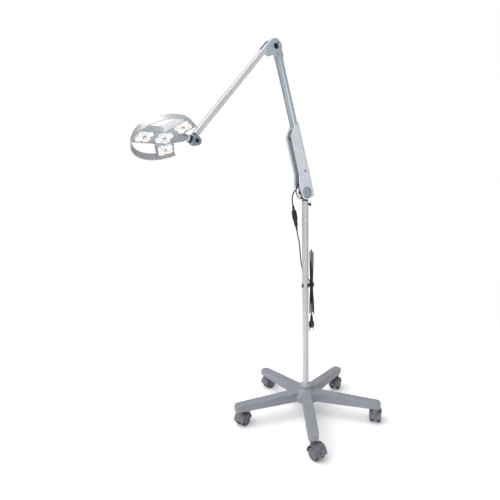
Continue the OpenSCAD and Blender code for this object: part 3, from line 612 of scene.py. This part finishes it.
def mains_route():
    return smooth([COUPLING_B, COUPLING_B + 16 * COUPLING_AXIS, (-14, 21, 722), (-9, 22, 685), (-5, 22, 650),
                   (-1, 21, 625), (6, 20, 603), (15, 16, 583), (23, 6, 568), (27, -1, 556)])


def link_route():
    return smooth([(-16, 4, 970.5), (-30, 4, 963), (-42, 4, 945), (-43, 4, 925), (-33, 4, 908),
                   (-20, 3, 901), (-11, 3, 900)])


def hank_route():
    """Down from the clip, up and down three times, then down the middle into the plug.

    Each fold lies across the width of the hank at its own offset, and each run passes the clip in
    its own place of a bundle of seven."""
    pitch, fold_r = 2 * MAINS_R, 6 * MAINS_R
    slots = [Vector((pitch * math.cos(math.radians(a)), pitch * math.sin(math.radians(a))))
             for a in (150, 210, 90, 330, 30, 270)] + [Vector((0, 0))]
    lower = [(-6.8, 3), (4.2, 9), (9.2, 0)]
    upper = [(-6.0, 6), (6.0, 10), (0.2, 0)]

    def leg(start, end, z0, z1):
        """A run between a place in the clip and the side of a fold."""
        count = 9
        return [(*(start.lerp(end, (1 - math.cos(math.pi * i / count)) / 2)), z0 + (z1 - z0) * i / count)
                for i in range(1, count + 1)]

    def fold(offset, z, sign, back_first):
        """A half turn from one side of the hank to the other."""
        side = 1 if back_first else -1
        angles = [math.pi * i / 10 for i in range(1, 10)]
        return [(offset, side * fold_r * math.cos(a), z + sign * fold_r * math.sin(a)) for a in angles]

    route = [(*slots[0], CLIP_TOP + 2), (*slots[0], CLIP_BOTTOM)]
    for k in range(3):
        offset, lift = lower[k]
        z = HANK_BOTTOM + MAINS_R + lift + fold_r
        route += leg(slots[2 * k], Vector((offset, fold_r)), CLIP_BOTTOM, z)
        route += fold(offset, z, -1, True)
        route += leg(Vector((offset, -fold_r)), slots[2 * k + 1], z, CLIP_BOTTOM)
        route.append((*slots[2 * k + 1], CLIP_TOP))
        offset, drop = upper[k]
        z = HANK_TOP - MAINS_R - drop - fold_r
        route += leg(slots[2 * k + 1], Vector((offset, -fold_r)), CLIP_TOP, z)
        route += fold(offset, z, 1, False)
        route += leg(Vector((offset, fold_r)), slots[2 * k + 2], z, CLIP_TOP)
        route.append((*slots[2 * k + 2], CLIP_BOTTOM))
    route += [(-0.9, 0, CLIP_BOTTOM - 40), (-1.2, 0, CLIP_BOTTOM - 80), (-1.2, 0, HANK_BOTTOM + 14),
              (-0.5, 0, HANK_BOTTOM + 6), (0, 0, HANK_BOTTOM)]
    placed = [HANK_PLACE @ (Vector(p) * MM) / MM for p in route]
    return [p for i, p in enumerate(placed) if i == 0 or (p - placed[i - 1]).length > 0.01]


def make_coupling():
    """The in-line connector: a plug and a socket, each with a tapered, ribbed strain relief."""
    place = along(COUPLING_A, COUPLING_B)
    length = (COUPLING_B - COUPLING_A).length
    profile = [(0, 0.2, 0), (LEAD_R + 0.9, 0.2, 0.3)]
    for k in range(5):
        z, r = 3 + 3.4 * k, 3.5 + 0.35 * k
        profile += [(r, z, 0.3), (r + 0.9, z + 0.6, 0.3), (r + 0.9, z + 1.9, 0.3), (r, z + 2.5, 0.3)]
    profile += [(6.2, 21, 0.5), (9.4, 24.5, 2), (9.9, 30, 1), (9.9, 59, 1.4), (8.6, 61, 0.4),
                (8.6, 62.4, 0.3), (7.4, 64, 0.8), (7.4, 83, 1.2), (5, 86, 0.8)]
    for k in range(4):
        z, r = 88 + 3.6 * k, 3.9 - 0.2 * k
        profile += [(r, z, 0.2), (r + 0.7, z + 0.6, 0.3), (r + 0.7, z + 1.8, 0.3), (r, z + 2.4, 0.2)]
    profile += [(MAINS_R + 0.6, length - 0.6, 0.2), (0, length - 0.6, 0)]
    shell = lathe("coupling_shell", profile, place, CORD_BLACK, 48, 3)
    rib = rounded([(9.2, -0.7, 0), (10.0, -0.5, 0), (10.0, 0.5, 0), (9.2, 0.7, 0)])
    ribs = [prism(f"coupling_rib{k}", rib, 33, 56, turned(place, "Z", 30 * k), CORD_BLACK)
            for k in range(12)]
    coupling = joined("coupling_shell", [shell, *ribs])
    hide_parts("coupling")
    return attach(coupling, "stem")


def make_plug():
    """A moulded plug: rounded body, ribbed strain relief, two pins with sleeves."""
    low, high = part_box("plug")
    centre = moved(WORLD, (low.x + high.x) / 2 / MM, (low.y + high.y) / 2 / MM, PLUG_Z)
    sections = [(0, 10.4, 5.6), (1.2, 11.3, 6.4), (6, 11.4, 8.2), (14, 11.0, 9.6), (20, 10.2, 9.4),
                (24.5, 8.6, 8.6)]
    sides, points, faces = 40, [], []
    for z, half_x, half_y in sections:
        for k in range(sides):
            angle = 2 * math.pi * k / sides
            c, s = math.cos(angle), math.sin(angle)
            size = (abs(c) ** 3 + abs(s) ** 3) ** (-1 / 3)
            points.append((half_x * c * size, half_y * s * size, z))
    for i in range(len(sections) - 1):
        for k in range(sides):
            n = (k + 1) % sides
            faces.append((i * sides + k, i * sides + n, (i + 1) * sides + n, (i + 1) * sides + k))
    faces += [tuple(range(sides)), tuple((len(sections) - 1) * sides + k for k in range(sides))]
    body = from_points("plug_body", points, faces, centre, CORD_BLACK, 50)
    profile = [(0, 24, 0), (7.9, 24, 0.4)]
    for k in range(6):
        z, r = 26 + 4.4 * k, 6.9 - 0.55 * k
        profile += [(r, z, 0.3), (r + 0.8, z + 0.7, 0.4), (r + 0.8, z + 2.6, 0.4), (r, z + 3.3, 0.3)]
    profile += [(MAINS_R + 0.8, 54.6, 0.2), (0, 54.6, 0)]
    relief = lathe("plug_relief", profile, centre, CORD_BLACK, 40, 3)
    grips = [block(f"plug_grip{k}", side * 11.1 - 0.5, side * 11.1 + 0.5, -3.6, 3.6, 5 + 3 * k, 6.4 + 3 * k,
                   centre, CORD_BLACK, 0.3) for k in range(4) for side in (-1, 1)]
    body = joined("plug_body", [body, relief, *grips])
    pins = []
    for side in (-1, 1):
        spot = moved(centre, side * 9.5, 0, 0)
        bare = [(0, -18.9, 0), (1.95, -18.9, 1.3), (1.95, -9, 0), (0, -9, 0)]
        sleeve = [(0, -9.2, 0), (1.98, -9.2, 0.2), (1.98, 0.5, 0), (0, 0.5, 0)]
        pins.append(lathe(f"pin_{side}", bare, spot, PIN_METAL, 24))
        pins.append(lathe(f"sleeve_{side}", sleeve, spot, CORD_BLACK, 24))
    pins = joined("plug_pins", pins)
    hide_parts("plug")
    return [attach(body, "stand"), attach(pins, "stand")]


def make_cords():
    coupling = make_coupling()
    plug_pieces = make_plug()
    lead, mains, link, hank = lead_route(), mains_route(), link_route(), hank_route()
    upper = sweep("upper_lead", lead, LEAD_R, CORD_BLACK)
    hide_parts("lead_upper")
    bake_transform(upper)
    short = sweep("link_lead", link, LINK_R, CORD_GREY)
    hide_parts("link_cable")
    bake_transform(short)
    hanging = sweep("mains_cord", mains, MAINS_R, CORD_GREY)
    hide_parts("mains_lead")
    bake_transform(hanging)
    folded = sweep("hank_cord", hank, MAINS_R, CORD_BLACK, 12)
    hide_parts("cord_hank")
    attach(folded, "stand")


# ------------------------------------------------------------------ CAD nodes that keep their shape
def finished(node, finish):
    """Gives a CAD node its finish."""
    item = frame["nodes"][node]
    item.data.materials.clear()
    item.data.materials.append(finish)


def moulded(node, finish, voxel_mm, rounds, body):
    """Stands a softened copy in for a CAD node, as a moulding has no sharp edge."""
    source = frame["nodes"][node]
    copy = bpy.data.objects.new(node + "_moulded", source.data.copy())
    bpy.context.scene.collection.objects.link(copy)
    copy.modifiers.new("weld", "WELD").merge_threshold = 1e-5
    remesh = copy.modifiers.new("remesh", "REMESH")
    remesh.mode = "VOXEL"
    remesh.voxel_size = voxel_mm * MM
    relax = copy.modifiers.new("relax", "SMOOTH")
    relax.iterations = rounds
    shown = copy.evaluated_get(bpy.context.evaluated_depsgraph_get())
    mesh = bpy.data.meshes.new_from_object(shown)
    bpy.data.objects.remove(copy)
    item = add_object(node + "_moulded", mesh, finish, 80)
    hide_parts(node)
    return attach(item, body)


def make_stand():
    moulded("star_base", BASE_GREY, 2.0, 9, "stand")
    finished("base_cap", CAP_GREY)
    finished("hub_bolt", STEEL)
    finished("pole", POLE_PAINT)
    finished("pole_bush", BUSH)
    finished("thumbscrew", BLACK_TRIM)
    finished("hank_tie", BLACK_TRIM)


CASTOR_STEM_AT = 284
STAR_TURN = 18
TRAIL_DIRECTIONS = [209, 4, 19, -89, 34]
CASTOR_TRAIL = 18
WHEEL_R = 25
WHEEL_W = 15
WHEEL_IN = 6.4
AXLE_R = 3


def make_wheel(number, letter, side, axle):
    """A soft tyre with a shoulder on a ribbed plastic core with a hub cap."""
    name = f"castor{number}_wheel_{letter}"
    place = turned(axle, "X", -90 if side > 0 else 90)
    place = moved(place, 0, 0, WHEEL_IN)
    bore = AXLE_R + 0.1
    soft = [(WHEEL_R - 4, 0.2, 0.4), (WHEEL_R - 1.2, 0.2, 1), (WHEEL_R, 2.2, 1.6),
            (WHEEL_R, WHEEL_W - 3, 2), (WHEEL_R - 3, WHEEL_W - 0.3, 1.2),
            (WHEEL_R - 4.6, WHEEL_W - 0.3, 0.4), (WHEEL_R - 4.6, 3, 0)]
    hard = [(bore, 0.4, 0), (WHEEL_R - 4.3, 0.4, 0.3), (WHEEL_R - 4.3, WHEEL_W - 0.5, 0.5),
            (WHEEL_R - 6, WHEEL_W - 0.5, 0.5), (WHEEL_R - 7.2, WHEEL_W - 2.6, 0.8),
            (10.5, WHEEL_W - 1.9, 0.8), (9.8, WHEEL_W - 1.1, 0.4), (bore, WHEEL_W - 1.1, 0)]
    cap = [(bore, WHEEL_W - 1.3, 0), (8.4, WHEEL_W - 1.3, 0.2), (8.4, WHEEL_W - 0.2, 0.5),
           (6.8, WHEEL_W - 0.2, 0.4), (6.2, WHEEL_W - 0.9, 0.3), (bore, WHEEL_W - 0.9, 0)]
    tyre = closed_lathe("tyre", soft, place, TYRE, 72)
    core = closed_lathe("core", hard, place, WHEEL_GREY, 72)
    hub = closed_lathe("hub", cap, place, HOOD_GREY, 48)
    ribs = [block("rib", 10.6, WHEEL_R - 7.4, -0.55, 0.55, WHEEL_W - 2.6, WHEEL_W - 1.3,
                  turned(place, "Z", 30 * k), WHEEL_GREY, 0.25) for k in range(12)]
    wheel = joined(name + "_tyred", [tyre, core, hub, *ribs])
    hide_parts(name)
    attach(wheel, f"wheel{number}{letter}")


def make_castors():
    for k, trail in enumerate(TRAIL_DIRECTIONS):
        number = k + 1
        azimuth = STAR_TURN + 72 * k
        stem = moved(turned(WORLD, "Z", azimuth), CASTOR_STEM_AT, 0, 0)
        axle = moved(turned(stem, "Z", trail - azimuth), CASTOR_TRAIL, 0, WHEEL_R)
        moulded(f"castor{number}_hood", HOOD_GREY, 0.9, 3, f"castor{number}")
        make_wheel(number, "a", 1, axle)
        make_wheel(number, "b", -1, axle)
        finished(f"castor{number}_brake", HOOD_GREY)


def make_lower_arm():
    finished("pivot_stem", STEM_METAL)
    finished("casing_left", WHITE_SHELL)
    finished("casing_right", WHITE_SHELL)
    finished("casing_insert", DARK_INSERT)
    finished("lower_tube", TUBE_METAL)
    finished("driver_board", BOARD_GREEN)
    finished("friction_knob", KNOB_GREY)
    finished("pivot_bolt", STEEL)
    finished("cable_gland", BLACK_TRIM)
    finished("power_button", DARK_METAL)
    finished("tube_knuckle", CAST_METAL)
    finished("elbow_bolt", DARK_METAL)


COLLAR_R = 13
COLLAR_END = 25
HUB_DISC_R = 15.5
NECK_HOLE_R = 9


def make_collar():
    """The black sleeve on the neck side of the wrist hub, over the CAD's bare one."""
    low, high = HUB_DISC_R + 1.2, COLLAR_END
    inner, outer = COLLAR_R + 0.05, COLLAR_R + 0.7
    groove = (low + high) / 2
    profile = [(inner, low, 0), (outer, low, 0.3), (outer, groove - 0.6, 0.2), (COLLAR_R + 0.3, groove, 0.2),
               (outer, groove + 0.6, 0.2), (outer, high + 0.2, 0.5), (NECK_HOLE_R, high + 0.2, 0.3),
               (NECK_HOLE_R, high + 0.05, 0), (inner, high + 0.05, 0)]
    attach(closed_lathe("wrist_collar", profile, turned(NECK, "Y", -90), BLACK_TRIM), "wrist")


def make_upper_arm():
    finished("elbow_drum", CAST_METAL)
    finished("upper_arm", ARM_COAT)
    finished("slot_trim", BLACK_TRIM)
    finished("wrist_knuckle", CAST_METAL)
    finished("wrist_block", HUB_METAL)
    make_collar()
    finished("wrist_bolt", DARK_METAL)
    finished("neck", NECK_GREY)
    finished("head_bracket", BRACKET_GREY)


# ------------------------------------------------------------------ head
CLUSTERS = [(0, 0, 1), (60, 68, -1), (180, 68, 1), (300, 68, 1)]
LENS_PITCH = 23
LENS_R = 10.4
LENS_H = 7.8
BOARD_FRONT = -7.1
LOBE_R = 12.4


def cluster_place(angle, distance):
    """The middle of a cluster on the board, with Z out of the light."""
    return turned(moved(turned(moved(HEAD, 0, 0, BOARD_FRONT), "Z", angle), distance, 0, 0), "X", 180)


def make_lens(name, place, bowl_finish, chip_finish):
    """A reflector bowl with its chip, under the clear optic's edge."""
    dish = [(2.6, 0.3, 0), (4.4, 0.3, 0.5), (7.6, 3.2, 3), (LENS_R - 1.1, LENS_H - 1.2, 0.6),
            (LENS_R - 0.4, LENS_H - 0.6, 0.2), (LENS_R - 0.7, LENS_H - 0.4, 0.2),
            (LENS_R - 2.0, LENS_H - 1.6, 0.6), (6.6, 3.6, 3), (3.6, 1.2, 0.5), (2.6, 1.0, 0)]
    band = [(LENS_R - 2.4, LENS_H - 1.3, 0.3), (LENS_R, LENS_H - 1.3, 0.3), (LENS_R, LENS_H, 0.5),
            (LENS_R - 2.4, LENS_H, 0.5)]
    dome = [(0, 1.8, 0), (3.4, 1.8, 0.2), (3.4, 2.6, 0.8), (2.2, 4.6, 1.6), (0, 5.2, 0)]
    # painted glow and painted reflection: the bowl is tinted with its chip's colour and glows faintly
    bowl = closed_lathe("bowl", dish, place, bowl_finish, 40)
    rim = closed_lathe("rim", band, place, RIM_PAINTED_GLOW, 40)
    bulb = lathe("bulb", dome, place, COVER_CLEAR, 32)
    base = block("chip_base", -2.6, 2.6, -2.6, 2.6, 0.1, 1.1, place, RIM_PAINTED_GLOW, 0.2)
    chip = block("chip", -2.2, 2.2, -2.2, 2.2, 1.0, 1.7, place, chip_finish, 0.2)
    return [bowl, rim, bulb, base, chip]


def lobed_outline(radius):
    """The outline round four lenses: four arcs that meet between them."""
    away = LENS_PITCH / math.sqrt(2)
    out = []
    for i in range(96):
        angle = 2 * math.pi * i / 96
        lean = (angle % (math.pi / 2)) - math.pi / 4
        reach = away * math.cos(lean) + math.sqrt(max(radius**2 - (away * math.sin(lean)) ** 2, 0))
        out.append((reach * math.cos(angle), reach * math.sin(angle)))
    return out


def make_cluster_wall(place):
    """The clear wall and bright rim that surround a cluster of four lenses; the brightness is a painted
    glow.
    """
    outer, inner = lobed_outline(LOBE_R), lobed_outline(LOBE_R - 0.9)
    count = len(outer)
    rings = [(outer, 0.4), (outer, LENS_H - 0.5), (inner, LENS_H - 0.2), (inner, 0.4)]
    points = [(x, y, z) for ring, z in rings for x, y in ring]
    faces = []
    for r in range(4):
        for k in range(count):
            n, s = (k + 1) % count, (r + 1) % 4
            faces.append((r * count + k, r * count + n, s * count + n, s * count + k))
    return from_points("cluster_wall", points, faces, place, RIM_PAINTED_GLOW, 50)


def make_head():
    finished("head_housing", SILVER_SHELL)
    finished("ring_handle", RING_SILVER)
    finished("led_board", BOARD_BLUE)
    finished("lens_cover", COVER_CLEAR)
    warm, cool, walls = [], [], []
    for angle, distance, sense in CLUSTERS:
        middle = cluster_place(angle, distance)
        walls.append(make_cluster_wall(middle))
        for i in (-0.5, 0.5):
            for j in (-0.5, 0.5):
                spot = moved(middle, i * LENS_PITCH, -j * LENS_PITCH, 0)
                if i * j * sense > 0:
                    warm += make_lens("warm", spot, BOWL_WARM, CHIP_WARM)
                else:
                    cool += make_lens("cool", spot, BOWL_COOL, CHIP_COOL)
    warm = joined("warm_lenses", warm)
    cool = joined("cool_lenses", cool)
    walls = joined("cluster_walls", walls)
    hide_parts("lenses_warm")
    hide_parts("lenses_cool")
    for item in (warm, cool, walls):
        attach(item, "head")


# ------------------------------------------------------------------ the stage
def make_floor():
    surface = Surface("floor_white")
    drift = surface.noise(400, 2)
    tint = surface.mixed(drift, (0.93, 0.93, 0.935), (0.97, 0.97, 0.97))
    surface.link(tint, surface.shader.inputs["Base Color"])
    surface.set(Roughness=0.7, Emission_Color=(1, 1, 1, 1), Emission_Strength=0.14)
    mesh = bpy.data.meshes.new("floor")
    reach, sides = 1.7, 96
    angles = [2 * math.pi * k / sides for k in range(sides)]
    rim = [(reach * math.cos(a), reach * math.sin(a), 0) for a in angles]
    mesh.from_pydata(rim, [], [tuple(range(sides))])
    floor = add_object("floor", mesh, surface.material)


make_camera()
make_cords()
make_stand()
make_castors()
make_lower_arm()
make_upper_arm()
make_head()
make_floor()
make_world()
make_lights()
bpy.context.scene.view_settings.view_transform = "Standard"
